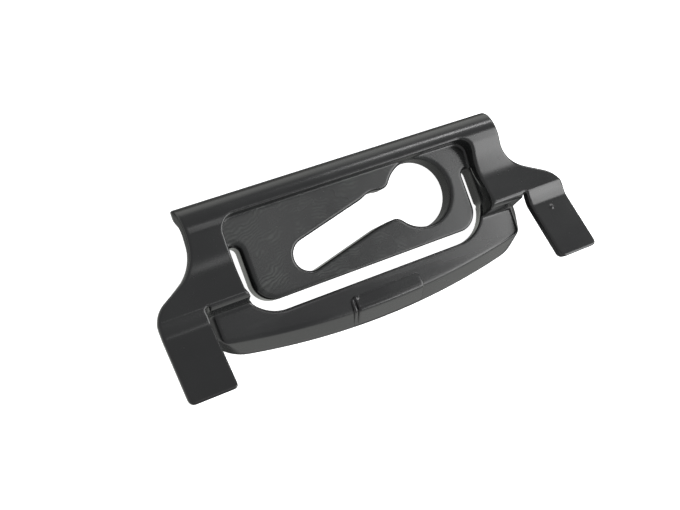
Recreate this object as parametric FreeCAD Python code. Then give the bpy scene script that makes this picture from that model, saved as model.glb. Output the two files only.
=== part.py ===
"""Moulded trim retaining clip with a keyhole stud plate, two spring legs and a spring bow.

Millimetres. X runs along the clip, Y towards the rolled rail, Z up out of the visible face.
X = 0 is the middle of the clip, Y = 0 the middle of its depth, Z = 0 the plane it lies on.
"""
import FreeCAD
import Part
import math
import os

V = FreeCAD.Vector

# overall
HALF_DEPTH = 11.8        # rail back to Y = 0, and leg tips to Y = 0
SHEET = 1.3              # wall of the shoulders and legs
GAP = 0.12               # clearance left at each flexure line

# rolled rail
RAIL_HALF = 24.2         # half length of the rail
ROLL_R = 3.3             # outside radius of the rolled edge
ROLL_WALL = 1.8          # wall of the rolled edge
CREST_Z = 5.8            # top of the rail
LIP_Z = 2.4              # free edge of the rolled lip
RAIL_SPLIT_Y = 7.6       # where rail region ends and shoulder region starts

# recess and U-shaped slot round the stud plate
RECESS_HALF = 19.3       # half width of the recess, also the outer side of the slot
RECESS_TOP_Y = 8.85
RECESS_CORNER = 2.0
SLOT_END_Y = 4.85        # closed ends of the slot arms
SLOT_BOTTOM_Y = -5.15    # bow side of the slot
SLOT_CORNER = 4.8
SLOT_CORNER_Y = SLOT_BOTTOM_Y + SLOT_CORNER

# stud plate (the sprung tongue)
PLATE_HALF = 17.45
PLATE_BOTTOM_Y = -3.55
PLATE_CORNER = 3.0
PLATE_LOW_Z = 0.1
PLATE_TOP_Z = 3.3
PLATE_EDGE_R = 0.7
ROOT_Y = 9.6             # flexure line of the tongue under the rail
ROOT_Z = (PLATE_LOW_Z + PLATE_TOP_Z) / 2
ROOT_R = (PLATE_TOP_Z - PLATE_LOW_Z) / 2

# keyhole
HOLE_X = 10.15
HOLE_Y = 3.7
HOLE_R = 4.85
NECK_WIDTH = 4.5
NECK_X = 3.3             # where the neck turns into the slanted slot
NECK_Y = 3.6
SEAT_X = -8.5
SEAT_Y = 0.68

# shoulders: top surface as (Y, Z) corners, then the plan view of the flared outer edge
VALLEY = (4.4, 4.62)
RIDGE = (-1.4, 6.15)
FOLD_Y = 7.9             # where the rail top turns down into the shoulder
FLARE_IN_Y = 3.85
FLARE_OUT_Y = -0.25
FLARE_IN_R = 5.0
FLARE_OUT_R = 3.8

# legs
LEG_IN = 25.0
LEG_OUT = 31.5
LEG_AXIS = (-2.75, 4.62)  # flexure line of each leg as (Y, Z)
LEG_TIP_Z = 8.5
LEG_TIP_CORNER = 0.8
LEG_SWING = 7            # degrees each way kept clear round the leg root

# side walls between shoulder sheet and slot
WALL = 1.3
WALL_LOW_Z = 0.4
WALL_END_Y = 9.9

# spring bow
BOW_TOP_Z = 2.7
BOW_FACE_Y = -8.85       # middle of the fold line between face and bevel
BOW_BACK_Y = -11.0       # middle of the outer edge on the underside
BOW_FACE_R = 122.0
BOW_BACK_R = 107.0
BOW_SPLIT_X = 16.5       # plane where the bow leaves its foot
FOOT_TOP_Y = -3.05       # foot of the drop wall on the bow face
FOOT_END_FACE = 24.0
FOOT_END_BACK = 25.5
DROP_END = 24.3          # end of the drop wall beside the leg root

# pad in the middle of the bow
PAD_LEFT = -5.2
PAD_RIGHT = 6.0
PAD_TOP_Y = -6.85
PAD_RAISE = 0.42         # how far the pad stands up at the fold
PAD_LIP = 0.08           # and at its straight edge beside the slot
PAD_LOW_Z = 0.5


def wire(points):
    """Closed polygon from a list of vectors."""
    return Part.makePolygon(points + [points[0]])


def prism(points, direction):
    """Solid prism over a closed polygon."""
    return Part.Face(wire(points)).extrude(direction)


def section(profile, x0, x1):
    """Solid from (Y, Z) corners extruded along X between x0 and x1."""
    return prism([V(x0, y, z) for y, z in profile], V(x1 - x0, 0, 0))


def plan(outline, z0, z1):
    """Solid from (X, Y) corners extruded upwards between z0 and z1."""
    return prism([V(x, y, z0) for x, y in outline], V(0, 0, z1 - z0))


def box(x0, x1, y0, y1, z0, z1):
    return Part.makeBox(x1 - x0, y1 - y0, z1 - z0, V(x0, y0, z0))


def post(x, y, r, z0, z1):
    """Upright cylinder."""
    return Part.makeCylinder(r, z1 - z0, V(x, y, z0), V(0, 0, 1))


def rod(y, z, r, x0, x1):
    """Cylinder along X."""
    return Part.makeCylinder(r, x1 - x0, V(x0, y, z), V(1, 0, 0))


def edges_where(shape, test):
    return [e for e in shape.Edges if test(e)]


def middle(edge):
    return edge.valueAt((edge.FirstParameter + edge.LastParameter) / 2)


def upright(x, y):
    """Picks the upright edge standing at x, y."""
    def test(edge):
        m = middle(edge)
        box_ = edge.BoundBox
        flat = box_.XLength < 1e-4 and box_.YLength < 1e-4
        return flat and abs(m.x - x) < 1e-3 and abs(m.y - y) < 1e-3
    return test


def along_x(y, z):
    """Picks the edge along X that runs through y, z."""
    def test(edge):
        m = middle(edge)
        box_ = edge.BoundBox
        flat = box_.YLength < 1e-4 and box_.ZLength < 1e-4
        return flat and abs(m.y - y) < 1e-3 and abs(m.z - z) < 1e-3
    return test


def mirror(shape):
    return shape.mirror(V(0, 0, 0), V(1, 0, 0))


def offset_point(profile, i, d):
    """Point of a profile moved by d to the inner side of both neighbouring segments."""
    (y0, z0), (y1, z1), (y2, z2) = profile[i - 1], profile[i], profile[i + 1]
    a = math.atan2(z1 - z0, y1 - y0)
    b = math.atan2(z2 - z1, y2 - y1)
    half = (b - a) / 2
    mid = (a + b) / 2
    reach = d / math.cos(half)
    return (y1 - reach * math.sin(mid), z1 + reach * math.cos(mid))


def end_offset(p, q, at, d):
    """Point at the end of segment p-q moved square to it by d."""
    a = math.atan2(q[1] - p[1], q[0] - p[0])
    return (at[0] - d * math.sin(a), at[1] + d * math.cos(a))


def rolled_section():
    """Curved rail section: outer roll, free lip, and inner side."""
    cy = HALF_DEPTH - ROLL_R
    cz = CREST_Z - ROLL_R
    r_in = ROLL_R - ROLL_WALL
    s = math.sqrt(0.5)
    top_left = V(0, *shoulder_top()[0])
    fold = V(0, FOLD_Y, CREST_Z)
    crest = V(0, cy, CREST_Z)
    shoulder_pt = V(0, cy + s * ROLL_R, cz + s * ROLL_R)
    side = V(0, HALF_DEPTH, cz)
    lip_out = V(0, HALF_DEPTH, LIP_Z)
    lip_in = V(0, HALF_DEPTH - ROLL_WALL, LIP_Z)
    side_in = V(0, cy + r_in, cz)
    turn_in = V(0, cy + s * r_in, cz + s * r_in)
    crest_in = V(0, cy, cz + r_in)
    low_left = V(0, RAIL_SPLIT_Y, cz + r_in)
    parts = [
        Part.makeLine(top_left, fold),
        Part.makeLine(fold, crest),
        Part.Arc(crest, shoulder_pt, side).toShape(),
        Part.makeLine(side, lip_out),
        Part.makeLine(lip_out, lip_in),
        Part.makeLine(lip_in, side_in),
        Part.Arc(side_in, turn_in, crest_in).toShape(),
        Part.makeLine(crest_in, low_left),
        Part.makeLine(low_left, top_left),
    ]
    return Part.Wire(parts)


def solid_roll():
    """The rail section filled down to the lip, for the length of the recess."""
    cy = HALF_DEPTH - ROLL_R
    cz = CREST_Z - ROLL_R
    s = math.sqrt(0.5)
    start = V(0, RECESS_TOP_Y, LIP_Z)
    top = V(0, RECESS_TOP_Y, cz + math.sqrt(ROLL_R ** 2 - (RECESS_TOP_Y - cy) ** 2))
    mid = V(0, cy + s * ROLL_R, cz + s * ROLL_R)
    side = V(0, HALF_DEPTH, cz)
    low = V(0, HALF_DEPTH, LIP_Z)
    parts = [
        Part.makeLine(start, top),
        Part.Arc(top, mid, side).toShape(),
        Part.makeLine(side, low),
        Part.makeLine(low, start),
    ]
    return Part.Wire(parts)


def shoulder_top():
    """Top surface of the shoulder sheet from the rail split to the leg flexure."""
    drop = (CREST_Z - VALLEY[1]) / (FOLD_Y - VALLEY[0])
    at_split = CREST_Z - drop * (FOLD_Y - RAIL_SPLIT_Y)
    valley2 = (-2.9, 5.2)
    return [(RAIL_SPLIT_Y, at_split), VALLEY, RIDGE, valley2]


def leg_angle():
    """Rise of the leg above the horizontal, in radians."""
    return math.atan2(LEG_TIP_Z - (LEG_AXIS[1] + SHEET / 2), HALF_DEPTH + LEG_AXIS[0])


def leg_blank(grow=0.0):
    """Leg section along X: round root on the flexure line, straight blade to the tip."""
    a = leg_angle()
    half = SHEET / 2 + grow
    length = (HALF_DEPTH + LEG_AXIS[0]) / math.cos(a) + 1.0
    x0 = LEG_IN - grow
    x1 = LEG_OUT + grow
    blade = box(x0, x1, -length, 0, -half, half)
    root = rod(0, 0, half, x0, x1)
    leg = blade.fuse(root).removeSplitter()
    leg.rotate(V(0, 0, 0), V(1, 0, 0), -math.degrees(a))
    leg.translate(V(0, LEG_AXIS[0], LEG_AXIS[1]))
    return leg


def flare_outline():
    """Plan view of one half of the sheet, rail to leg tip, with the flared outer edge."""
    corners = [
        (RECESS_HALF, HALF_DEPTH),
        (RAIL_HALF, HALF_DEPTH),
        (RAIL_HALF, FLARE_IN_Y),
        (LEG_OUT, FLARE_OUT_Y),
        (LEG_OUT, -HALF_DEPTH),
        (RECESS_HALF, -HALF_DEPTH),
    ]
    blank = plan(corners, -1, 12)
    blank = blank.makeFillet(FLARE_IN_R, edges_where(blank, upright(RAIL_HALF, FLARE_IN_Y)))
    blank = blank.makeFillet(FLARE_OUT_R, edges_where(blank, upright(LEG_OUT, FLARE_OUT_Y)))
    return blank


def make_rail():
    half = RAIL_HALF
    tube = Part.Face(rolled_section()).extrude(V(2 * half, 0, 0))
    tube.translate(V(-half, 0, 0))
    core = Part.Face(solid_roll()).extrude(V(2 * RECESS_HALF, 0, 0))
    core.translate(V(-RECESS_HALF, 0, 0))
    rail = tube.fuse(core)
    recess = box(-RECESS_HALF, RECESS_HALF, 0, RECESS_TOP_Y, -1, 12)
    for x in (-RECESS_HALF, RECESS_HALF):
        recess = recess.makeFillet(RECESS_CORNER, edges_where(recess, upright(x, RECESS_TOP_Y)))
    rail = rail.cut(recess)
    socket = rod(ROOT_Y, ROOT_Z, ROOT_R + GAP, -PLATE_HALF - GAP, PLATE_HALF + GAP)
    floor = box(-PLATE_HALF - GAP, PLATE_HALF + GAP, 0, ROOT_Y, -1, PLATE_TOP_Z + GAP)
    return rail.cut(socket).cut(floor).removeSplitter()


def make_shoulder(outline):
    """Right shoulder: curved sheet from the rail to the ridge and on to the leg root."""
    top = shoulder_top()
    low = []
    for i in range(1, len(top) - 1):
        low.append(offset_point(top, i, SHEET))
    split_low = end_offset(top[0], top[1], top[0], SHEET)
    slope = (low[0][1] - split_low[1]) / (low[0][0] - split_low[0])
    first = (RAIL_SPLIT_Y, split_low[1] + slope * (RAIL_SPLIT_Y - split_low[0]))
    last = end_offset(top[-2], top[-1], top[-1], SHEET)
    profile = top + [last] + list(reversed(low)) + [first]
    sheet = section(profile, RECESS_HALF, LEG_OUT)
    sheet = sheet.makeFillet(6.0, edges_where(sheet, along_x(*VALLEY)))
    sheet = sheet.makeFillet(7.3, edges_where(sheet, along_x(*low[0])))
    sheet = sheet.makeFillet(0.35, edges_where(sheet, along_x(*RIDGE)))
    sheet = sheet.common(outline)
    sheet = sheet.cut(box(0, LEG_IN, -HALF_DEPTH, RIDGE[0], -1, 12))
    swept = leg_blank(GAP)
    for step in range(-LEG_SWING, LEG_SWING + 1):
        blade = swept.copy()
        blade.rotate(V(0, LEG_AXIS[0], LEG_AXIS[1]), V(1, 0, 0), step)
        sheet = sheet.cut(blade)
    pieces = sorted(sheet.Solids, key=lambda s: s.Volume)
    return pieces[-1]


def make_leg():
    """Right leg."""
    leg = leg_blank()
    keep = box(LEG_IN, LEG_OUT, -HALF_DEPTH, 10, -1, 12)
    for x in (LEG_IN, LEG_OUT):
        keep = keep.makeFillet(LEG_TIP_CORNER, edges_where(keep, upright(x, -HALF_DEPTH)))
    return leg.common(keep)


def make_side_wall(shoulder, rail, foot):
    """Right side wall from the shoulder sheet down to the back of the slot."""
    wall = box(RECESS_HALF, RECESS_HALF + WALL, SLOT_CORNER_Y, WALL_END_Y, WALL_LOW_Z, 5.6)
    wall = wall.cut(shoulder).cut(rail).cut(foot)
    return sorted(wall.Solids, key=lambda s: s.Volume)[-1]


def make_web():
    """Right web: recess floor beside the tongue, closing the end of the slot arm."""
    x0 = PLATE_HALF + GAP
    end_r = (RECESS_HALF - PLATE_HALF) / 2
    end_y = SLOT_END_Y - end_r
    web = box(x0, RECESS_HALF, end_y, 11.2, PLATE_LOW_Z, PLATE_TOP_Z)
    web = web.cut(post(PLATE_HALF + end_r, end_y, end_r, -1, 12))
    return web


def arc_y(middle_y, radius, x):
    """Height of a shallow arc with its lowest point at x = 0."""
    return middle_y + radius - math.sqrt(radius ** 2 - x ** 2)


def bow_arc(middle_y, radius, x0, x1, z):
    mid = (x0 + x1) / 2
    pts = [V(x, arc_y(middle_y, radius, x), z) for x in (x0, mid, x1)]
    return Part.Arc(*pts).toShape()


def slot_arc(x0, z):
    """Rounded corner on the bow side of the slot, from x0 out to the side of the slot."""
    cx = RECESS_HALF - SLOT_CORNER
    cy = SLOT_CORNER_Y
    first = V(x0, cy - math.sqrt(SLOT_CORNER ** 2 - (x0 - cx) ** 2), z)
    a = (math.atan2(first.y - cy, x0 - cx)) / 2
    half = V(cx + SLOT_CORNER * math.cos(a), cy + SLOT_CORNER * math.sin(a), z)
    return Part.Arc(first, half, V(RECESS_HALF, cy, z)).toShape(), first


def foot_wire(end_x, end_low, mid_y, radius, z):
    """Plan outline of a bow foot at one level."""
    x0 = BOW_SPLIT_X
    inner, first = slot_arc(x0, z)
    outer_x = end_x - 0.5
    start = V(x0, arc_y(mid_y, radius, x0), z)
    arc_end = V(outer_x, arc_y(mid_y, radius, outer_x), z)
    top_right = V(end_x, SLOT_CORNER_Y, z)
    low_right = V(end_x, end_low, z)
    parts = [
        inner,
        Part.makeLine(V(RECESS_HALF, SLOT_CORNER_Y, z), top_right),
        Part.makeLine(top_right, low_right),
        Part.makeLine(low_right, arc_end),
        bow_arc(mid_y, radius, outer_x, x0, z),
        Part.makeLine(start, first),
    ]
    return Part.Wire(parts)


def make_foot(shoulder):
    """Right bow foot: the slab that carries the bow and the wall up to the ridge."""
    low = foot_wire(FOOT_END_BACK, -6.9, BOW_BACK_Y, BOW_BACK_R, 0)
    high = foot_wire(FOOT_END_FACE, -6.0, BOW_FACE_Y, BOW_FACE_R, BOW_TOP_Z)
    slab = Part.makeLoft([low, high], True, True)
    profile = [
        RIDGE,
        (FOOT_TOP_Y, BOW_TOP_Z - 0.4),
        (SLOT_CORNER_Y, BOW_TOP_Z - 0.4),
        (SLOT_CORNER_Y, 3.6),
        (-0.3, 4.4),
        (-0.3, 6.0),
    ]
    wall = section(profile, RECESS_HALF, DROP_END)
    foot = slab.fuse(wall).cut(shoulder)
    foot = sorted(foot.Solids, key=lambda s: s.Volume)[-1]
    return foot.removeSplitter()


def make_bow():
    """Bow bar between its two feet, bevelled on the outer side."""
    x = BOW_SPLIT_X - GAP
    wires = []
    for mid_y, radius, z in ((BOW_BACK_Y, BOW_BACK_R, 0), (BOW_FACE_Y, BOW_FACE_R, BOW_TOP_Z)):
        right = V(x, SLOT_BOTTOM_Y, z)
        left = V(-x, SLOT_BOTTOM_Y, z)
        outer_l = V(-x, arc_y(mid_y, radius, x), z)
        outer_r = V(x, arc_y(mid_y, radius, x), z)
        wires.append(Part.Wire([
            Part.makeLine(right, left),
            Part.makeLine(left, outer_l),
            Part.Arc(outer_l, V(0, mid_y, z), outer_r).toShape(),
            Part.makeLine(outer_r, right),
        ]))
    bar = Part.makeLoft(wires, True, True)
    cx = RECESS_HALF - SLOT_CORNER
    for side in (1, -1):
        toe = box(cx, x, SLOT_BOTTOM_Y, SLOT_CORNER_Y, 0, BOW_TOP_Z)
        toe = toe.cut(post(cx, SLOT_CORNER_Y, SLOT_CORNER, -1, 4))
        toe = toe if side > 0 else mirror(toe)
        bar = bar.fuse(toe)
    return bar.removeSplitter()


def make_pad(bow):
    """Raised pad that wraps from the bow face over the bevel."""
    back = 0.25
    slope = (BOW_FACE_Y - BOW_BACK_Y) / BOW_TOP_Z
    profile = [
        (PAD_TOP_Y, BOW_TOP_Z - 0.3),
        (PAD_TOP_Y, BOW_TOP_Z + PAD_LIP),
        (BOW_FACE_Y - back, BOW_TOP_Z + PAD_RAISE),
        (BOW_FACE_Y - back - slope * (BOW_TOP_Z - PAD_LOW_Z), PAD_LOW_Z),
        (BOW_FACE_Y + 0.4, PAD_LOW_Z),
    ]
    pad = section(profile, PAD_LEFT, PAD_RIGHT)
    fold = edges_where(pad, along_x(BOW_FACE_Y - back, BOW_TOP_Z + PAD_RAISE))
    pad = pad.makeFillet(0.8, fold)
    pad = pad.cut(bow)
    return sorted(pad.Solids, key=lambda s: s.Volume)[-1]


def keyhole_tool():
    """Round hole, short neck and slanted slot with a round seat."""
    tool = post(HOLE_X, HOLE_Y, HOLE_R, -1, 6)
    half = NECK_WIDTH / 2
    tool = tool.fuse(box(NECK_X, HOLE_X, NECK_Y - half, NECK_Y + half, -1, 6))
    angle = math.atan2(NECK_Y - SEAT_Y, NECK_X - SEAT_X)
    length = math.hypot(NECK_Y - SEAT_Y, NECK_X - SEAT_X)
    slot = box(0, length, -half, half, -1, 6)
    slot.rotate(V(0, 0, 0), V(0, 0, 1), math.degrees(angle))
    slot.translate(V(SEAT_X, SEAT_Y, 0))
    tool = tool.fuse(slot)
    tool = tool.fuse(post(SEAT_X, SEAT_Y, half, -1, 6))
    tool = tool.fuse(post(NECK_X, NECK_Y, half, -1, 6))
    return tool


def make_plate():
    """Stud plate: the tongue inside the U-shaped slot, with the keyhole through it."""
    plate = box(-PLATE_HALF, PLATE_HALF, PLATE_BOTTOM_Y, ROOT_Y, PLATE_LOW_Z, PLATE_TOP_Z)
    for x in (-PLATE_HALF, PLATE_HALF):
        plate = plate.makeFillet(PLATE_CORNER, edges_where(plate, upright(x, PLATE_BOTTOM_Y)))
    outer = edges_where(
        plate,
        lambda e: e.BoundBox.ZMin > PLATE_TOP_Z - 0.01 and middle(e).y < ROOT_Y - 0.1,
    )
    plate = plate.makeFillet(PLATE_EDGE_R, outer)
    plate = plate.fuse(rod(ROOT_Y, ROOT_Z, ROOT_R, -PLATE_HALF, PLATE_HALF))
    return plate.removeSplitter().cut(keyhole_tool()).removeSplitter()


def build():
    outline = flare_outline()
    shoulder = make_shoulder(outline)
    leg = make_leg()
    rail = make_rail()
    foot = make_foot(shoulder)
    wall = make_side_wall(shoulder, rail, foot)
    web = make_web()
    rail = rail.cut(web).cut(mirror(web))
    bow = make_bow()
    shapes = {
        "top_rail": rail,
        "stud_plate": make_plate(),
        "spring_bow": bow,
        "bow_pad": make_pad(bow),
    }
    halves = {
        "shoulder": shoulder,
        "side_wall": wall,
        "web": web,
        "bow_foot": foot,
        "leg": leg,
    }
    for name, shape in halves.items():
        shapes["right_" + name] = shape
        shapes["left_" + name] = mirror(shape)
    return shapes


def main():
    os.makedirs("parts", exist_ok=True)
    for name, shape in build().items():
        if len(shape.Solids) == 1:
            shape = shape.Solids[0]
        shape.exportStep("parts/" + name + ".step")
        b = shape.BoundBox
        print(name, len(shape.Solids), shape.isValid(), round(shape.Volume, 2),
              [round(v, 2) for v in (b.XMin, b.XMax, b.YMin, b.YMax, b.ZMin, b.ZMax)])


main()
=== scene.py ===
import math
import bmesh
import bpy
import numpy as np
from mathutils import Matrix, Vector


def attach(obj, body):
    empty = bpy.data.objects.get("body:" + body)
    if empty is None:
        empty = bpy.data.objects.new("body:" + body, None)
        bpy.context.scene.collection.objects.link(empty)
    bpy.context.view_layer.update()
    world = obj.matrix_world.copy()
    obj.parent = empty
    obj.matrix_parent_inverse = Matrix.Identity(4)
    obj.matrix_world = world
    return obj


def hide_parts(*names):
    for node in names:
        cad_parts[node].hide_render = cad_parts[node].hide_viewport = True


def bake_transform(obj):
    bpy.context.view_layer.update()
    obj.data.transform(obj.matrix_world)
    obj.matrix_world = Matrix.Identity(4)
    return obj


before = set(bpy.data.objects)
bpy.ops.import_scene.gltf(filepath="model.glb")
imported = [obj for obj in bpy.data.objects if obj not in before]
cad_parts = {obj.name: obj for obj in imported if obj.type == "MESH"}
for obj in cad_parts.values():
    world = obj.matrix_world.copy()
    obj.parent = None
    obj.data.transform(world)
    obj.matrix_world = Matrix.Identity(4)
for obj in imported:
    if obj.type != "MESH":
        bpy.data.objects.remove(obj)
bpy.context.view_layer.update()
scene = bpy.context.scene
MM = 0.001

# The clip is described by signed distances, negative inside, and meshed as one smooth skin.
# Planes cut that skin into pieces.

# ---------------------------------------------------------------- plane outlines


def rounded(corners, step=0.08):
    """Closed outline from (x, y, radius) corners, each corner replaced by an arc."""
    points = []
    count = len(corners)
    for i in range(count):
        x, y, radius = corners[i]
        before = np.array(corners[i - 1][:2], float)
        after = np.array(corners[(i + 1) % count][:2], float)
        here = np.array((x, y), float)
        if radius <= 0:
            points.append(here)
            continue
        a = (before - here) / np.linalg.norm(before - here)
        b = (after - here) / np.linalg.norm(after - here)
        half = math.acos(max(-1.0, min(1.0, float(a @ b)))) / 2
        reach = radius / math.tan(half)
        centre = here + (a + b) / np.linalg.norm(a + b) * radius / math.sin(half)
        first = here + a * reach - centre
        last = here + b * reach - centre
        start = math.atan2(first[1], first[0])
        turn = math.atan2(last[1], last[0]) - start
        turn = (turn + math.pi) % (2 * math.pi) - math.pi
        parts = max(4, int(abs(turn) * radius / step))
        for k in range(parts + 1):
            angle = start + turn * k / parts
            points.append(centre + radius * np.array((math.cos(angle), math.sin(angle))))
    return np.array(points)


def outline_distance(u, v, outline):
    """Signed distance to a closed outline, negative inside."""
    u, v = np.broadcast_arrays(u, v)
    best = np.full(u.shape, 1e9)
    inside = np.zeros(u.shape, bool)
    following = np.roll(outline, -1, axis=0)
    for (x0, y0), (x1, y1) in zip(outline, following):
        ex, ey = x1 - x0, y1 - y0
        size = ex * ex + ey * ey
        if size < 1e-12:
            continue
        wx, wy = u - x0, v - y0
        t = np.clip((wx * ex + wy * ey) / size, 0, 1)
        best = np.minimum(best, (wx - t * ex) ** 2 + (wy - t * ey) ** 2)
        crosses = (y0 > v) != (y1 > v)
        if y1 != y0:
            inside ^= crosses & (u < ex * (v - y0) / (y1 - y0) + x0)
    return np.where(inside, -1, 1) * np.sqrt(best)


def meet(a, b, r):
    """Where both solids are, with the edge between them rounded to r."""
    inner = np.minimum(np.maximum(a, b), -r)
    return inner + np.hypot(np.maximum(a + r, 0), np.maximum(b + r, 0))


def join(a, b, r):
    """Where either solid is, with a fillet of radius r between them."""
    return -meet(-a, -b, r)


def bevel(a, b, c):
    """Where both solids are, with a flat bevel of width c on the edge."""
    return np.maximum(np.maximum(a, b), (a + b + c) * math.sqrt(0.5))


def moved_line(points, d):
    """The (y, z) line moved square to itself by d, its corners kept."""
    out = []
    for i, (y, z, radius) in enumerate(points):
        a = points[max(i - 1, 0)]
        b = points[min(i + 1, len(points) - 1)]
        lean_in = math.atan2(z - a[1], y - a[0]) if i > 0 else None
        lean_out = math.atan2(b[1] - z, b[0] - y) if i < len(points) - 1 else None
        lean_in = lean_out if lean_in is None else lean_in
        lean_out = lean_in if lean_out is None else lean_out
        mid, half = (lean_in + lean_out) / 2, (lean_out - lean_in) / 2
        reach = d / math.cos(half)
        out.append((y - reach * math.sin(mid), z + reach * math.cos(mid), radius))
    return out


def arc_y(middle_y, radius, x):
    """y at x of an arc whose lowest point is at middle_y."""
    return middle_y + radius - np.sqrt(radius ** 2 - x ** 2)


def smooth(t):
    """Soft step from 0 to 1 as t goes from 0 to 1."""
    t = np.clip(t, 0, 1)
    return t * t * (3 - 2 * t)


# ---------------------------------------------------------------- the moulding, in millimetres

# Sections are in (y, z). Plans are in (x, y) for the right half, and the left half mirrors them,
# except for the pad's. The third value of each point is the radius of its corner.

# the sheet: its thickness, then its upper side from the leg's tip over the ridge to the rail
SHEET = 1.3
LEG_TOP = [(-12.0, 8.66, 0.2), (-2.95, 5.38, 2.4)]
RIDGE = (-1.4, 6.15, 0.15)
RAIL_TOP = [(4.2, 4.62, 7.0), (7.9, 5.8, 1.3)]
RAIL_LIP = [(11.9, 5.8, 3.35), (11.9, 2.4, 0.3), (10.5, 2.4, 0.3), (9.3, 3.85, 1.2)]
LEG_TIP_LOW = (-12.0, 7.28, 0.25)
RAIL_LOW = (8.3, 4.0, 1.0)
SHEET_LOW_RADII = (0.25, 2.6, 1.2, 5.7, 1.0)


def sheet_section():
    """Section of the sheet that makes the legs, the ridge, the shoulders and the rolled rail."""
    top = LEG_TOP + [RIDGE] + RAIL_TOP
    low = [(y, z, r) for (y, z, _), r in zip(moved_line(top, -SHEET), SHEET_LOW_RADII)]
    low[0], low[-1] = LEG_TIP_LOW, RAIL_LOW
    return rounded(top + RAIL_LIP + low[::-1])


SHEET_SECTION = sheet_section()
# the sheet from above: rail end, flared shoulder, leg, and the inner edge beside the recess
SHEET_PLAN = rounded([
    (-9, 13, 0), (24.15, 13, 0), (24.15, 3.85, 5.0), (31.4, -0.25, 3.9), (31.4, -11.97, 0.9),
    (25.0, -11.97, 0.8), (25.0, -1.35, 0.3), (19.25, -1.35, 0.1), (19.25, 8.85, 2.0), (-9, 8.85, 0),
])
# the solid under the rail, the recess in front of it, and its floor with the plate
CORE_SECTION = rounded([
    (8.2, 0.1, 0), (10.9, 0.1, 0.5), (11.1, 2.0, 0.5), (11.9, 2.4, 0.3), (11.9, 5.8, 3.35),
    (8.2, 5.8, 0.1),
])
RECESS_PLAN = rounded([(-40, -20, 0), (19.3, -20, 0), (19.3, 8.85, 2.0), (-40, 8.85, 0)])
FLOOR_PLAN = rounded([
    (-9, -3.55, 0), (17.45, -3.55, 3.0), (17.45, 4.85, 0.92), (19.3, 4.85, 0.92), (19.3, -0.5, 0),
    (20.4, -0.5, 0), (20.4, 11.1, 0), (-9, 11.1, 0),
])
# outer side of the U-shaped slot, at its top and at its foot
SLOT_HIGH = rounded([(-40, -5.15, 0), (19.25, -5.15, 5.6), (19.25, 30, 0), (-40, 30, 0)])
SLOT_LOW = rounded([(-40, -5.2, 0), (19.5, -5.2, 4.9), (19.5, 30, 0), (-40, 30, 0)])
# the wall that drops from the ridge to the bow
DROP_SECTION = rounded([
    (-1.36, 6.12, 0.12), (-2.0, 5.5, 0.35), (-2.75, 2.2, 0), (-0.95, 2.2, 0), (-0.6, 4.4, 0.3),
    (-0.2, 5.2, 0),
])
PAD_PLAN = rounded([(-5.2, -6.85, 0.5), (6.0, -6.55, 0.9), (6.0, -14, 0), (-5.2, -14, 0)])

# the rail's top and how far its ends lean out, and the legs' small offsets from symmetry
RAIL_Z = 5.8
RAIL_LEAN = 0.26
LEG_SHIFT = 0.17
LEFT_LEG_EXTRA = 0.15
# half-length of the solid under the rail, and the floor's underside and top
CORE_HALF = 20.6
FLOOR_Z = (0.1, 3.3)

# the side walls run beside the slot and reach up to the underside of the sheet
SIDE_Y = (-1.9, 9.9)
SIDE_LOW_Z = 0.4
SIDE_TOP_Y = (-2.0, -1.4, 1.0, 4.2, 6.5, 9.9)
SIDE_TOP_Z = (5.35, 5.45, 4.85, 4.15, 4.7, 4.9)

# the bow: its outer side leans between two arcs, each given as (y at the middle, radius)
BOW_TOP = 2.7
BOW_BEVEL_LOW = 0.35
BOW_FACE = (-8.85, 122.0)
BOW_BACK = (-11.06, 107.0)
ARC_HALF = 30
BOW_INNER_Y = -0.95
BOW_END_FACE = 23.6
BOW_END_BACK = 25.6
BOW_END_LEAN = 2.3
BOW_END_SLOPE = 0.76
DROP_HALF = 24.45

# the pad: raised off the bow, its face through the point PAD_FACE, with a groove and a small knob
PAD_RAISE = 0.36
PAD_LIP = 0.03
PAD_FACE = (-6.7, 2.76)
PAD_TILT = 0.19
PAD_LOW_Z = 0.3
PAD_GROOVE_X = -4.6
PAD_GROOVE_HALF = 0.12
PAD_GROOVE_DEPTH = 0.06
PAD_KNOB = (-4.35, -7.05, 2.78, 0.3)

# mould dot on the right leg, as (x, y, z, radius)
LEG_DOT = (28.13, -4.73, 5.85, 0.32)

# the keyhole: round hole as (x, y, radius), two points of the slot, and half the slot's width
KEY_HOLE = (10.15, 3.7, 4.85)
KEY_NECK = (3.3, 3.6)
KEY_SEAT = (-8.5, 0.68)
KEY_HALF = 2.24


def ball(x, y, z, shape):
    """Signed distance to a ball given as (x, y, z, radius)."""
    cx, cy, cz, radius = shape
    return np.sqrt((x - cx) ** 2 + (y - cy) ** 2 + (z - cz) ** 2) - radius


def capsule(x, y, a, b, r):
    """Signed distance to a round-ended bar of radius r from a to b."""
    ax, ay, bx, by = *a, *b
    ex, ey = bx - ax, by - ay
    t = np.clip(((x - ax) * ex + (y - ay) * ey) / (ex * ex + ey * ey), 0, 1)
    return np.hypot(x - ax - t * ex, y - ay - t * ey) - r


def keyhole(x, y):
    """Plan of the keyhole: round hole, neck and slanted slot."""
    hole = np.hypot(x - KEY_HOLE[0], y - KEY_HOLE[1]) - KEY_HOLE[2]
    neck = capsule(x, y, KEY_NECK, (KEY_HOLE[0], KEY_NECK[1]), KEY_HALF)
    slot = capsule(x, y, KEY_SEAT, KEY_NECK, KEY_HALF)
    return join(hole, join(neck, slot, 0.6), 0.7)


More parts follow.
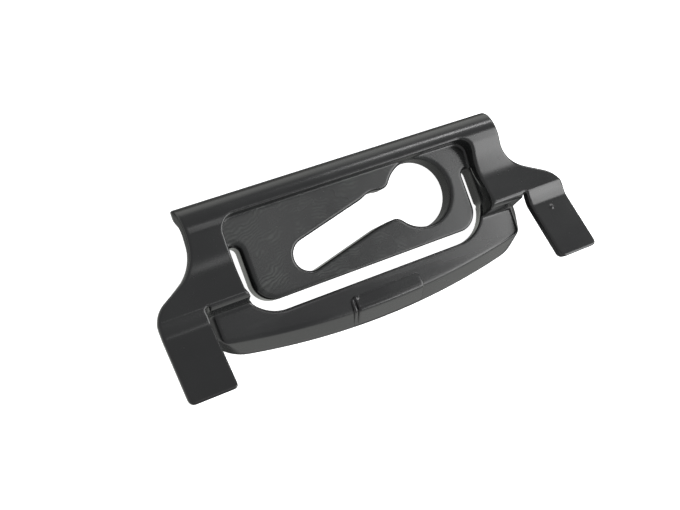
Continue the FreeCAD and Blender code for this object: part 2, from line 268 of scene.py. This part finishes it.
def sheet(x, y, z):
    """Legs, shoulders and rolled rail; the rail's ends lean out and the legs sit a little aside."""
    section = outline_distance(y, z, SHEET_SECTION)
    lean = RAIL_LEAN * np.clip((RAIL_Z - 0.6 - z) / 2.0, -0.3, 1.0) * smooth((y - 1.0) / 2.5)
    legs_x = np.abs(x - LEG_SHIFT * smooth((-1.2 - y) / 1.5))
    long_left = LEFT_LEG_EXTRA * smooth((-y - 8.0) / 3.0) * (x < 0)
    return meet(section, outline_distance(legs_x, y + long_left, SHEET_PLAN) - lean, 0.2)


def recess_wall(ax, y, z, recess):
    """Solid under the rolled rail, down to the foot of the recess."""
    core = outline_distance(y, z, CORE_SECTION)
    return meet(meet(core, -recess, 0.3), ax - CORE_HALF, 0.2)


def slot_outline(ax, y, deep):
    """Outer side of the U-shaped slot, drafted from its top to its foot."""
    high = outline_distance(ax, y, SLOT_HIGH)
    return high + deep * (outline_distance(ax, y, SLOT_LOW) - high)


def side_wall(ax, y, z, slot, recess, deep):
    """Walls on the outer side of the slot and of the recess."""
    inner = np.where(y > 2.5, np.minimum(-slot, 0.2 * deep - recess), -slot)
    ends = np.maximum(y - SIDE_Y[1], SIDE_Y[0] - y)
    side = np.maximum(np.maximum(inner, ax - CORE_HALF), ends)
    under_sheet = np.interp(y, SIDE_TOP_Y, SIDE_TOP_Z)
    return np.maximum(side, np.maximum(z - under_sheet, SIDE_LOW_Z - z))


def floor_slab(x, y, z):
    """Recess floor and plate, with the keyhole; the edge is softer at the left end."""
    plan = outline_distance(np.abs(x), y, FLOOR_PLAN)
    edge = 0.35 + 0.55 * smooth((-14.0 - x) / 3.0)
    slab = meet(meet(plan, z - FLOOR_Z[1], edge), FLOOR_Z[0] - z, 0.3)
    return bevel(slab, -keyhole(x, y), 0.3)


def bow_outside(ax, y, z, proud):
    """Distance outside the bow's bevelled outer side, moved out by proud at the top."""
    face_y = arc_y(*BOW_FACE, np.minimum(ax, ARC_HALF))
    back_y = arc_y(*BOW_BACK, np.minimum(ax, ARC_HALF))
    rise = np.clip((z - BOW_BEVEL_LOW) / (BOW_TOP - BOW_BEVEL_LOW), -1, 2)
    slope = (back_y + (face_y - back_y) * rise - proud * np.clip(rise, 0, 1) - y) * 0.8
    return meet(slope, back_y - y, 0.15)


def bow_and_feet(ax, y, z, slot, deep):
    """Bow between the feet, with the walls that drop to it from the ridge."""
    end = (ax - BOW_END_FACE - BOW_END_LEAN * (1 - z / BOW_TOP)) * BOW_END_SLOPE
    bow = meet(bow_outside(ax, y, z, 0.0), end, 0.35 + 4.2 * deep)
    bow = np.maximum(bow, ax - BOW_END_BACK)
    bow = meet(bow, -slot, 0.2)
    bow = meet(meet(bow, z - BOW_TOP, 0.22), -z, 0.2)
    bow = np.maximum(bow, y - BOW_INNER_Y)
    drop = outline_distance(y, z, DROP_SECTION)
    drop = meet(drop, np.maximum(ax - DROP_HALF, -slot), 0.22)
    return join(bow, drop, 0.45)


def moulding(x, y, z):
    """Signed distance to the whole clip at rest, bow pad left out."""
    ax = np.abs(x)
    deep = np.clip(1 - z / BOW_TOP, 0, 1)
    recess = outline_distance(ax, y, RECESS_PLAN)
    slot = slot_outline(ax, y, deep)
    solid = np.minimum(sheet(x, y, z), recess_wall(ax, y, z, recess))
    solid = np.minimum(solid, side_wall(ax, y, z, slot, recess, deep))
    solid = np.minimum(solid, bow_and_feet(ax, y, z, slot, deep))
    solid = join(solid, floor_slab(x, y, z), 0.3)
    return join(solid, ball(x, y, z, LEG_DOT), 0.08)


def pad_shape(x, y, z):
    """Signed distance to the pad on the bow, whose underside lies on the bow's face."""
    outer = bow_outside(np.abs(x), y, z, PAD_RAISE) - PAD_LIP
    pad = meet(outer, z - PAD_FACE[1] + PAD_TILT * (y - PAD_FACE[0]), 0.4)
    pad = meet(pad, outline_distance(x, y, PAD_PLAN), 0.12)
    pad = np.maximum(pad, PAD_LOW_Z - z)
    groove = np.abs(x - PAD_GROOVE_X) - PAD_GROOVE_HALF
    pad = np.maximum(pad, -np.maximum(groove, outer + PAD_GROOVE_DEPTH))
    return join(pad, ball(x, y, z, PAD_KNOB), 0.15)


# ---------------------------------------------------------------- surfaces from distances

CELL = 0.125
LOW, HIGH = (-32.2, -12.5, -0.7), (32.2, 12.5, 9.3)
PAD_SKIN_LOW, PAD_SKIN_HIGH = (-7.0, -12.2, -0.6), (8.0, -5.6, 4.2)
FIELD_LIMIT = 1.2
EDGE_BLUR_CELLS = 0.8
RELAX_STEPS = 3


def axis_values(i, low, high):
    return np.arange(low[i], high[i] + CELL, CELL)


def soften(field, sigma):
    """Gaussian blur, which rounds every edge a little."""
    reach = max(1, int(math.ceil(3 * sigma)))
    weights = np.exp(-0.5 * (np.arange(-reach, reach + 1) / sigma) ** 2)
    weights /= weights.sum()
    for axis in range(3):
        padded = np.pad(field, [(reach, reach) if a == axis else (0, 0) for a in range(3)], "edge")
        total = 0
        for k, w in enumerate(weights):
            window = [slice(None)] * 3
            window[axis] = slice(k, k + field.shape[axis])
            total = total + w * padded[tuple(window)]
        field = total
    return field


def sample(field, points, low):
    """Trilinear reading of a grid field at points."""
    g = (points - low) / CELL
    base = np.floor(g).astype(int)
    base = np.clip(base, 0, np.array(field.shape[:3]) - 2)
    f = g - base
    out = 0
    for dx in (0, 1):
        for dy in (0, 1):
            for dz in (0, 1):
                w = (f[:, 0] if dx else 1 - f[:, 0]) * (f[:, 1] if dy else 1 - f[:, 1])
                w = w * (f[:, 2] if dz else 1 - f[:, 2])
                value = field[base[:, 0] + dx, base[:, 1] + dy, base[:, 2] + dz]
                out = out + (w[:, None] * value if value.ndim > 1 else w * value)
    return out


def surface_net(field, low):
    """Quad mesh of the zero level of a grid field: points and faces."""
    inside = field < 0
    corners = np.array([(i, j, k) for i in (0, 1) for j in (0, 1) for k in (0, 1)])
    shape = np.array(field.shape) - 1
    part = [inside[i:i + shape[0], j:j + shape[1], k:k + shape[2]] for i, j, k in corners]
    count = sum(p.astype(np.int8) for p in part)
    cells = np.argwhere((count > 0) & (count < 8))
    index = np.full(shape, -1)
    index[tuple(cells.T)] = np.arange(len(cells))
    total = np.zeros((len(cells), 3))
    hits = np.zeros(len(cells))
    for a in range(8):
        for b in range(a + 1, 8):
            if np.abs(corners[a] - corners[b]).sum() != 1:
                continue
            va = field[tuple((cells + corners[a]).T)]
            vb = field[tuple((cells + corners[b]).T)]
            cut = (va < 0) != (vb < 0)
            t = np.where(cut, va / np.where(cut, va - vb, 1), 0)
            place = corners[a] + t[:, None] * (corners[b] - corners[a])
            total += np.where(cut[:, None], place, 0)
            hits += cut
    points = low + (cells + total / hits[:, None]) * CELL
    faces = []
    for axis in range(3):
        u, v = (axis + 1) % 3, (axis + 2) % 3
        ahead = [slice(None)] * 3
        behind = [slice(None)] * 3
        ahead[axis] = slice(1, None)
        behind[axis] = slice(None, -1)
        change = inside[tuple(behind)].astype(np.int8) - inside[tuple(ahead)].astype(np.int8)
        for sign in (1, -1):
            at = np.argwhere(change == sign)
            keep = (at[:, u] > 0) & (at[:, v] > 0) & (at[:, u] < shape[u]) & (at[:, v] < shape[v])
            at = at[keep]
            du, dv = np.eye(3, dtype=int)[u], np.eye(3, dtype=int)[v]
            ring = [at - du - dv, at - dv, at, at - du]
            quad = np.stack([index[tuple(r.T)] for r in ring], axis=1)
            faces.append(quad if sign > 0 else quad[:, ::-1])
    return points, np.concatenate(faces)


def relax(field, points, low):
    """Pulls points on to the zero level and returns them with their normals."""
    gradient = np.stack(np.gradient(field, CELL), axis=-1)
    for _ in range(RELAX_STEPS):
        slope = sample(gradient, points, low)
        size = np.maximum((slope ** 2).sum(1), 0.25)
        points = points - slope * (sample(field, points, low) / size)[:, None]
    slope = sample(gradient, points, low)
    normals = slope / np.maximum(np.linalg.norm(slope, axis=1), 1e-9)[:, None]
    return points, normals


def skin(shape, low, high):
    """Smooth quad skin of a distance function inside a block."""
    x = axis_values(0, low, high)[:, None, None]
    y = axis_values(1, low, high)[None, :, None]
    z = axis_values(2, low, high)[None, None, :]
    field = shape(x, y, z)
    field = np.broadcast_to(field, (x.size, y.size, z.size)).astype(np.float64)
    field = soften(np.clip(field, -FIELD_LIMIT, FIELD_LIMIT), EDGE_BLUR_CELLS)
    points, faces = surface_net(field, low)
    points, normals = relax(field, points, low)
    return points, normals, faces


def new_mesh(name, points, faces):
    mesh = bpy.data.meshes.new(name)
    mesh.from_pydata((np.asarray(points) * MM).tolist(), [], np.asarray(faces).tolist())
    mesh.validate()
    return mesh


def add_object(name, data):
    obj = bpy.data.objects.new(name, data)
    scene.collection.objects.link(obj)
    return obj


# ---------------------------------------------------------------- cutting the skin into pieces


def cut_piece(name, mesh, planes):
    """Closed copy of a mesh cut by planes given as (point, normal); the normal side goes.

    Faces that close a cut are marked by material index 1 and stay flat. All other faces take
    the skin's own normals.
    """
    work = bmesh.new()
    work.from_mesh(mesh)
    layer = work.verts.layers.float_vector["skin_normal"]
    for point, normal in planes:
        everything = work.verts[:] + work.edges[:] + work.faces[:]
        cut = bmesh.ops.bisect_plane(
            work, geom=everything, dist=1e-7, plane_co=Vector(point) * MM,
            plane_no=Vector(normal), clear_outer=True)
        rim = [e for e in cut["geom_cut"] if isinstance(e, bmesh.types.BMEdge) and e.is_valid]
        rim = [e for e in rim if len(e.link_faces) == 1]
        if rim:
            filled = bmesh.ops.triangle_fill(
                work, use_beauty=True, use_dissolve=False, edges=rim,
                normal=Vector(normal))
            for face in filled["geom"]:
                if isinstance(face, bmesh.types.BMFace):
                    face.material_index = 1
    bmesh.ops.recalc_face_normals(work, faces=work.faces[:])
    made = bpy.data.meshes.new(name)
    caps = []
    for face in work.faces:
        caps.append(face.material_index == 1)
        face.material_index = 0
        face.smooth = not caps[-1]
    work.faces.ensure_lookup_table()
    work.to_mesh(made)
    loop_normals = []
    for face, cap in zip(work.faces, caps):
        for loop in face.loops:
            n = face.normal if cap else Vector(loop.vert[layer])
            loop_normals.append(tuple(n.normalized() if n.length > 0 else face.normal))
    work.free()
    made.normals_split_custom_set(loop_normals)
    return add_object(name, made)


def island(name, mesh, keep):
    """Copy of a mesh with only the faces whose middle passes the test."""
    work = bmesh.new()
    work.from_mesh(mesh)
    gone = [f for f in work.faces if not keep(f.calc_center_median() / MM)]
    bmesh.ops.delete(work, geom=gone, context="FACES")
    part = bpy.data.meshes.new(name)
    work.to_mesh(part)
    work.free()
    return part


def build_skin(name, shape, low, high):
    """Mesh of a distance function, with its smooth normals kept in an attribute."""
    points, normals, faces = skin(shape, np.array(low), np.array(high))
    mesh = new_mesh(name, points, faces)
    attribute = mesh.attributes.new("skin_normal", "FLOAT_VECTOR", "POINT")
    attribute.data.foreach_set("vector", normals.astype(np.float32).ravel())
    return mesh


# The whole clip is one skin. Planes at these places cut it into pieces that follow the bodies.
RAIL_Y = 7.6
FOOT_Y = -1.75
WEB_X = 18.4
BOW_X = 15.5
OVER_RAIL, UNDER_RAIL = ((0, RAIL_Y, 0), (0, 1, 0)), ((0, RAIL_Y, 0), (0, -1, 0))
OVER_FOOT, UNDER_FOOT = ((0, FOOT_Y, 0), (0, 1, 0)), ((0, FOOT_Y, 0), (0, -1, 0))
SIDES = (("left", -1), ("right", 1))

# Before the cuts an island of faces is taken, which reaches past its cutting planes by a margin.
MARGIN = 0.5
WEB_MARGIN = 0.4
# the slot's middle line: its long arm, its short arms low down and at their ends, its corners
SLOT_MIDDLE_Y = -4.4
SLOT_ARM_X = 18.2
SLOT_TOP_X = 18.9
SLOT_TOP_Y = 3.0
SLOT_CORNER = (14.3, -0.65, 3.9)
# the bow's end, and the leg's inner edge, root and lowest height
BOW_ISLAND_X = 16.0
LEG_ISLAND = (24.72, FOOT_Y + 0.3, 3.0)


def in_tongue(c):
    """Inside the middle line of the U-shaped slot, or between the ends of its arms."""
    if c.y < SLOT_MIDDLE_Y or abs(c.x) > (SLOT_TOP_X if c.y > SLOT_TOP_Y else SLOT_ARM_X):
        return False
    corner_x, corner_y, radius = SLOT_CORNER
    corner = math.hypot(max(abs(c.x) - corner_x, 0), min(c.y - corner_y, 0))
    return c.y > corner_y or corner < radius


def in_bow(c):
    return abs(c.x) < BOW_ISLAND_X and c.y < SLOT_MIDDLE_Y


def in_leg(c):
    inner_x, root_y, low_z = LEG_ISLAND
    return abs(c.x) > inner_x and c.y < root_y and c.z > low_z


def piece(name, planes, body, nodes, source=None, keep=None):
    """Cuts a piece from its skin and body and stands it for its CAD nodes."""
    mesh = source or whole
    if keep:
        mesh = island(name + "_island", mesh, keep)
    made = cut_piece(name, mesh, planes)
    if body:
        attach(made, body)
    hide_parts(*nodes)
    pieces[name] = made


whole = build_skin("whole", moulding, LOW, HIGH)
pad_skin = build_skin("pad_skin", pad_shape, PAD_SKIN_LOW, PAD_SKIN_HIGH)
pieces = {}

piece("rail_skin", [UNDER_RAIL], "frame", ["top_rail"])
piece("tongue", [OVER_RAIL, ((WEB_X, 0, 0), (1, 0, 0)), ((-WEB_X, 0, 0), (-1, 0, 0))], None,
      ["stud_plate"], keep=lambda c: in_tongue(c) and c.y < RAIL_Y + MARGIN)
for side, s in SIDES:
    piece(side + "_shoulder_skin",
          [OVER_RAIL, UNDER_FOOT, ((s * WEB_X, 0, 0), (-s, 0, 0))],
          "frame", [side + "_shoulder", side + "_side_wall", side + "_web"],
          keep=lambda c, s=s: c.x * s > WEB_X - WEB_MARGIN and c.y > FOOT_Y - MARGIN)
    piece(side + "_foot_skin", [OVER_FOOT, ((s * BOW_X, 0, 0), (-s, 0, 0))],
          "frame", [side + "_bow_foot"],
          keep=lambda c, s=s: c.x * s > BOW_X - MARGIN and c.y < FOOT_Y + MARGIN
          and not in_tongue(c) and not in_leg(c))
    piece("leg_" + side, [OVER_FOOT], None, [side + "_leg"],
          keep=lambda c, s=s: in_leg(c) and c.x * s > 0)
    piece("bow_" + side, [((0, 0, 0), (-s, 0, 0)), ((s * BOW_X, 0, 0), (s, 0, 0))], None,
          ["spring_bow"], keep=lambda c, s=s: in_bow(c) and c.x * s > -MARGIN)
piece("pad", [], "bow", ["bow_pad"], source=pad_skin)

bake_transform(pieces["tongue"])
for side, s in SIDES:
    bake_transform(pieces["bow_" + side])
for side, _ in SIDES:
    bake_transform(pieces["leg_" + side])

# ---------------------------------------------------------------- material


class ShaderNodes:
    """Short ways to add nodes to one material. Places are read in the object's own frame."""

    def __init__(self, tree):
        self.nodes, self.links = tree.nodes, tree.links
        self.place = self.nodes.new("ShaderNodeTexCoord").outputs["Object"]
        axes = self.add("ShaderNodeSeparateXYZ", {"Vector": self.place})
        self.x, self.y, self.z = (axes.outputs[axis] for axis in "XYZ")

    def add(self, kind, inputs=(), **settings):
        """New node; an input is linked when it is given a socket, and set when given a value."""
        made = self.nodes.new(kind)
        for key, value in settings.items():
            setattr(made, key, value)
        for key, value in dict(inputs).items():
            if hasattr(value, "is_linked"):
                self.links.new(value, made.inputs[key])
            else:
                made.inputs[key].default_value = value
        return made

    def maths(self, operation, a, b):
        return self.add("ShaderNodeMath", {0: a, 1: b}, operation=operation).outputs["Value"]

    def product(self, first, *others):
        for other in others:
            first = self.maths("MULTIPLY", first, other)
        return first

    def layers(self, base, *masks):
        """The base with masks added to it, each given as (mask, weight)."""
        for mask, weight in masks:
            base = self.maths("ADD", base, self.product(mask, weight))
        return base

    def vector(self, operation, a, b):
        made = self.add("ShaderNodeVectorMath", {0: a, 1: b}, operation=operation)
        return made.outputs["Vector"]

    def span(self, value, low, high, to_low=0.0, to_high=1.0):
        return self.add("ShaderNodeMapRange", {
            "Value": value, "From Min": low, "From Max": high,
            "To Min": to_low, "To Max": to_high}, clamp=True).outputs["Result"]

    def noise(self, scale, detail, stretch=None, rough=0.5):
        vector = self.place
        if stretch:
            mapping = self.add("ShaderNodeMapping", {"Vector": self.place, "Scale": stretch})
            vector = mapping.outputs["Vector"]
        return self.add("ShaderNodeTexNoise", {
            "Vector": vector, "Scale": scale, "Detail": detail, "Roughness": rough}).outputs["Fac"]


def recess_floor_mask(n):
    """1 on the top face of the plate and the recess floor, 0 elsewhere."""
    above = n.span(n.z, 3.02 * MM, 3.22 * MM)
    below = n.span(n.z, 3.34 * MM, 3.44 * MM, 1.0, 0.0)
    inland = n.span(n.y, -3.9 * MM, -3.6 * MM)
    return n.product(above, below, inland)


def swirl_marks(n, floor_mask):
    """Swirl marks that the mould left in the recess floor, strongest towards the left end."""
    warp = n.add("ShaderNodeTexNoise", {"Vector": n.place, "Scale": 330.0, "Detail": 2.5})
    bent = n.vector("MULTIPLY", warp.outputs["Color"], (0.0027, 0.0027, 0.0))
    bent = n.vector("ADD", n.vector("ADD", bent, n.place), (0.006, 0.017, 0.0))
    rings = n.add("ShaderNodeTexWave", {
        "Vector": bent, "Scale": 640.0, "Distortion": 1.6, "Detail": 2.0, "Detail Scale": 2.5},
        wave_type="RINGS", rings_direction="Z").outputs["Fac"]
    patches = n.span(n.noise(380.0, 3.0), 0.44, 0.68)
    fade = n.span(n.x, -8.0 * MM, 14.0 * MM, 1.0, 0.2)
    return n.product(rings, patches, fade, floor_mask)


def bow_streaks(n):
    """Fine streaks along the bow, which lies low and in front of the plate."""
    streaks = n.span(n.noise(420.0, 3.0, stretch=(0.10, 1.0, 1.0), rough=0.6), 0.52, 0.74)
    in_front = n.span(n.y, -5.0 * MM, -4.0 * MM, 1.0, 0.0)
    low_down = n.span(n.z, 3.2 * MM, 3.5 * MM, 1.0, 0.0)
    return n.product(streaks, in_front, low_down)


def plastic(name):
    """Semi-gloss black plastic with mould marks; the recess floor is duller and swirled."""
    material = bpy.data.materials.new(name)
    material.use_nodes = True
    shader = material.node_tree.nodes["Principled BSDF"]
    shader.inputs["IOR"].default_value = 1.5
    n = ShaderNodes(material.node_tree)

    floor_mask = recess_floor_mask(n)
    swirl = swirl_marks(n, floor_mask)
    streaks = bow_streaks(n)
    specks = n.span(n.noise(1900.0, 2.0), 0.72, 0.82)
    clouds = n.noise(95.0, 3.0)

    rough = n.layers(n.span(clouds, 0.3, 0.7, 0.17, 0.25),
                     (streaks, 0.12), (floor_mask, 0.05), (specks, 0.15))
    tone = n.layers(n.span(clouds, 0.35, 0.75, 0.0, 0.05),
                    (floor_mask, 0.07), (swirl, 0.36), (streaks, 0.10), (specks, 0.12))
    height = n.layers(n.product(n.noise(2600.0, 3.0), 0.12),
                      (swirl, 0.8), (streaks, 0.25), (n.noise(330.0, 2.0), 0.35))
    colour = n.add("ShaderNodeMix", {"Factor": tone}, data_type="RGBA")
    colour.inputs["A"].default_value = (0.0080, 0.0083, 0.0086, 1)
    colour.inputs["B"].default_value = (0.072, 0.079, 0.072, 1)
    bump = n.add("ShaderNodeBump", {"Height": height, "Strength": 0.35, "Distance": 0.00004})

    n.links.new(colour.outputs["Result"], shader.inputs["Base Color"])
    n.links.new(rough, shader.inputs["Roughness"])
    n.links.new(bump.outputs["Normal"], shader.inputs["Normal"])
    return material


plastic_black = plastic("black_plastic_look")
for obj in pieces.values():
    obj.data.materials.clear()
    obj.data.materials.append(plastic_black)

# ---------------------------------------------------------------- floor, light, camera

# Places in metres. A light is (name, place, target, (size, size_y), power).
LIGHTS = (
    ("key", (0.50, -0.30, 0.40), (0.50, -0.30, 0.0), (0.50, 0.86), 7.5),
    ("top", (0.09, 0.055, 0.40), (0.0, 0.0, 0.0), (0.12, 0.05), 0.045),
    ("strip", (0.37, 0.42, 0.26), (0.07, 0.0, 0.0), (0.30, 0.05), 0.6),
)
# Brightness of the surroundings by height: 0 is straight down, 0.5 the horizon, 1 straight up.
SKY_LOWEST = (0.03, (0.34, 0.35, 0.33, 1))
SKY_STEPS = ((0.055, 0.11), (0.22, 0.06), (0.34, 0.66), (0.49, 0.70))
SKY_HIGHEST = (0.62, (0.27, 0.27, 0.275, 1))
SKY_STRENGTH = 2.0
# The camera is fitted to the photo: its place in millimetres, two of its axes and its lens.
CAMERA_PLACE = (-49.48, -1.57, 119.44)
CAMERA_RIGHT = (0.878, -0.341, 0.337)
CAMERA_FORWARD = (0.361, 0.006, -0.933)
CAMERA_LENS = 48.54918
SENSOR_WIDTH = 36.0


def stage_floor():
    """Plain pale floor that neither shows in the plastic nor shades it from below."""
    bpy.ops.mesh.primitive_plane_add(size=2.0, location=(0, 0, -0.02 * MM))
    floor = bpy.context.object
    floor.name = "floor"
    material = bpy.data.materials.new("pale_floor")
    material.use_nodes = True
    shader = material.node_tree.nodes["Principled BSDF"]
    shader.inputs["Base Color"].default_value = (0.85, 0.85, 0.85, 1)
    shader.inputs["Roughness"].default_value = 0.9
    shader.inputs["Emission Color"].default_value = (1, 1, 1, 1)
    shader.inputs["Emission Strength"].default_value = 0.95
    floor.data.materials.append(material)
    floor.visible_glossy = False
    floor.visible_shadow = False


def area_light(name, place, target, size, power):
    light = bpy.data.lights.new(name, "AREA")
    light.shape = "RECTANGLE"
    light.size, light.size_y = size
    light.energy = power
    obj = add_object(name, light)
    obj.location = place
    obj.rotation_euler = (Vector(target) - Vector(place)).to_track_quat("-Z", "Y").to_euler()


def studio_world():
    """Soft surroundings: dark below the horizon, bright along it and grey above."""
    world = bpy.data.worlds.new("studio")
    scene.world = world
    world.use_nodes = True
    nodes, links = world.node_tree.nodes, world.node_tree.links
    sky = nodes["Background"]
    sky.inputs["Strength"].default_value = SKY_STRENGTH
    toward = nodes.new("ShaderNodeTexCoord")
    axes = nodes.new("ShaderNodeSeparateXYZ")
    height = nodes.new("ShaderNodeMath")
    height.operation = "MULTIPLY_ADD"
    height.inputs[1].default_value = 0.5
    height.inputs[2].default_value = 0.5
    ramp = nodes.new("ShaderNodeValToRGB")
    steps = ramp.color_ramp.elements
    steps[0].position, steps[0].color = SKY_LOWEST
    steps[1].position, steps[1].color = SKY_HIGHEST
    for place, level in SKY_STEPS:
        steps.new(place).color = (level, level * 1.01, level * 0.98, 1)
    links.new(toward.outputs["Generated"], axes.inputs["Vector"])
    links.new(axes.outputs["Z"], height.inputs[0])
    links.new(height.outputs["Value"], ramp.inputs["Fac"])
    links.new(ramp.outputs["Color"], sky.inputs["Color"])


def photo_camera():
    """Camera at the photo's angle, with its axes made square to each other."""
    camera = bpy.data.cameras.new("camera")
    camera.lens = CAMERA_LENS
    camera.sensor_width = SENSOR_WIDTH
    camera.clip_start = 0.005
    right = Vector(CAMERA_RIGHT).normalized()
    forward = Vector(CAMERA_FORWARD).normalized()
    up = right.cross(forward).normalized()
    right = forward.cross(up).normalized()
    turn = Matrix((right, up, -forward)).transposed().to_4x4()
    obj = add_object("camera", camera)
    obj.matrix_world = Matrix.Translation(Vector(CAMERA_PLACE) * MM) @ turn
    scene.camera = obj


stage_floor()
studio_world()
for light in LIGHTS:
    area_light(*light)
photo_camera()
scene.view_settings.view_transform = "Standard"
